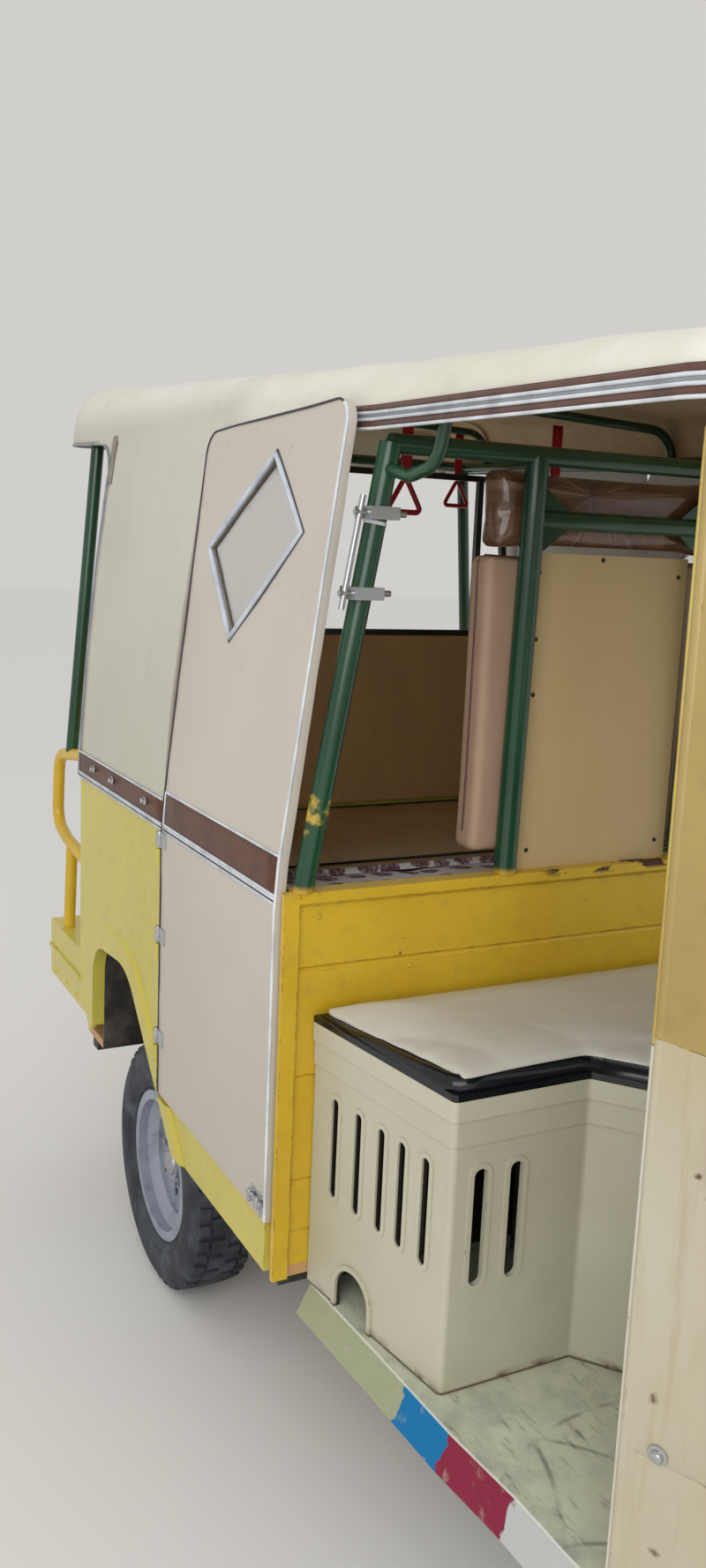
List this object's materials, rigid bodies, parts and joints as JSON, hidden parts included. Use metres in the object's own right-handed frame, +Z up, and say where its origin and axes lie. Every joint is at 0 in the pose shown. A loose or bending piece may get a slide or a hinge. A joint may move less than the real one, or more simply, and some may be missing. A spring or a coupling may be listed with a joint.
{
  "type": "auto rickshaw",
  "caption": "Auto rickshaw: open driver's cab with steered front wheel, steel tub with facing benches, hinged vinyl side doors, tube frame and crowned canopy roof.",
  "frame": {"origin": "on the ground below the middle of the overall length and width", "axes": "+X forward, +Y to the vehicle's left, +Z up"},
  "size_m": [3.1333, 1.294, 2.0726],
  "materials": {
    "yellow_paint": "gloss enamel, worn",
    "pale_yellow_paint": "gloss enamel, worn",
    "cream_paint": "gloss enamel, rusted edges",
    "green_paint": "gloss enamel, chipped",
    "black_paint": "satin",
    "frame_steel": "dusty black",
    "engine_iron": "oily",
    "tyre": "dusty rubber",
    "rim_silver": "silver paint",
    "bright_steel": "bright",
    "beige_vinyl": "satin vinyl",
    "roof_vinyl": "satin vinyl",
    "brown_vinyl": "satin vinyl",
    "tan_vinyl": "satin vinyl",
    "mat_cloth": "printed cotton",
    "hardboard": "smooth hardboard",
    "lining_board": "lined board",
    "window_glass": "clear",
    "clear_vinyl": "clear vinyl",
    "lamp_lens": "fluted",
    "red_lens": "clear red",
    "red_plastic": "gloss"
  },
  "bodies": {
    "root": {"chassis_frame": "frame_steel", "engine_block": "engine_iron", "rear_axle": "frame_steel", "leaf_springs": "frame_steel", "cab_floor": "cream_paint", "front_cowl": "cream_paint", "head_lamps": "lamp_lens", "windshield_frame": "yellow_paint", "windshield_glass": "window_glass", "seat_box": "cream_paint", "seat_lid": "black_paint", "driver_cushion": "beige_vinyl", "tub_floor": "cream_paint", "tub_front_panel": "yellow_paint", "corner_channels": "yellow_paint", "tub_side_left": "pale_yellow_paint", "tub_side_right": "pale_yellow_paint", "wheel_houses": "frame_steel", "tub_rear_panel": "pale_yellow_paint", "rear_step": "pale_yellow_paint", "tail_lamps": "red_lens", "grab_rails": "yellow_paint", "partition_frame": "green_paint", "rear_posts": "green_paint", "roof_rails": "green_paint", "roof_canopy": "roof_vinyl", "roof_front": "roof_vinyl", "side_curtains": "beige_vinyl", "bench_boxes": "hardboard", "rear_bench_cushion": "tan_vinyl", "front_bench_cushion": "mat_cloth", "seat_back_board": "hardboard", "seat_back_cushion": "brown_vinyl", "upper_cushion": "brown_vinyl", "rear_lining": "lining_board", "rear_window_frame": "black_paint", "strap_handles": "red_plastic", "dome_lamp": "lamp_lens", "post_bracket": "bright_steel"},
    "door_right": {"door_right": "beige_vinyl", "door_pane_right": "clear_vinyl"},
    "door_left": {"door_left": "beige_vinyl", "door_pane_left": "clear_vinyl"},
    "steering": {"steering_fork": "black_paint", "handlebar": "black_paint", "front_mudguard": "yellow_paint"},
    "front_wheel": {"front_tyre": "tyre", "front_rim": "rim_silver"},
    "rear_wheel_right": {"rear_tyre_right": "tyre", "rear_rim_right": "rim_silver"},
    "rear_wheel_left": {"rear_tyre_left": "tyre", "rear_rim_left": "rim_silver"}
  },
  "joints": [
    {"name": "door_right_hinge", "type": "hinge", "parent": "root", "child": "door_right", "pos_m": [-0.5955, -0.634, 0.86], "axis": [0, 0, -1], "range_deg": [0, 100]},
    {"name": "door_left_hinge", "type": "hinge", "parent": "root", "child": "door_left", "pos_m": [-0.5955, 0.634, 0.86], "axis": [0, 0, 1], "range_deg": [0, 100]},
    {"name": "steering_turn", "type": "hinge", "parent": "root", "child": "steering", "pos_m": [1.00368, 0, 0.80288], "axis": [-0.4226, 0, 0.9063], "range_deg": [-38, 38]},
    {"name": "front_wheel_spin", "type": "hinge", "parent": "steering", "child": "front_wheel", "pos_m": [1.2935, 0, 0.276], "axis": [0, 1, 0], "continuous": true},
    {"name": "rear_wheel_right_spin", "type": "hinge", "parent": "root", "child": "rear_wheel_right", "pos_m": [-0.7585, -0.5065, 0.276], "axis": [0, 1, 0], "continuous": true},
    {"name": "rear_wheel_left_spin", "type": "hinge", "parent": "root", "child": "rear_wheel_left", "pos_m": [-0.7585, 0.5065, 0.276], "axis": [0, 1, 0], "continuous": true}
  ]
}
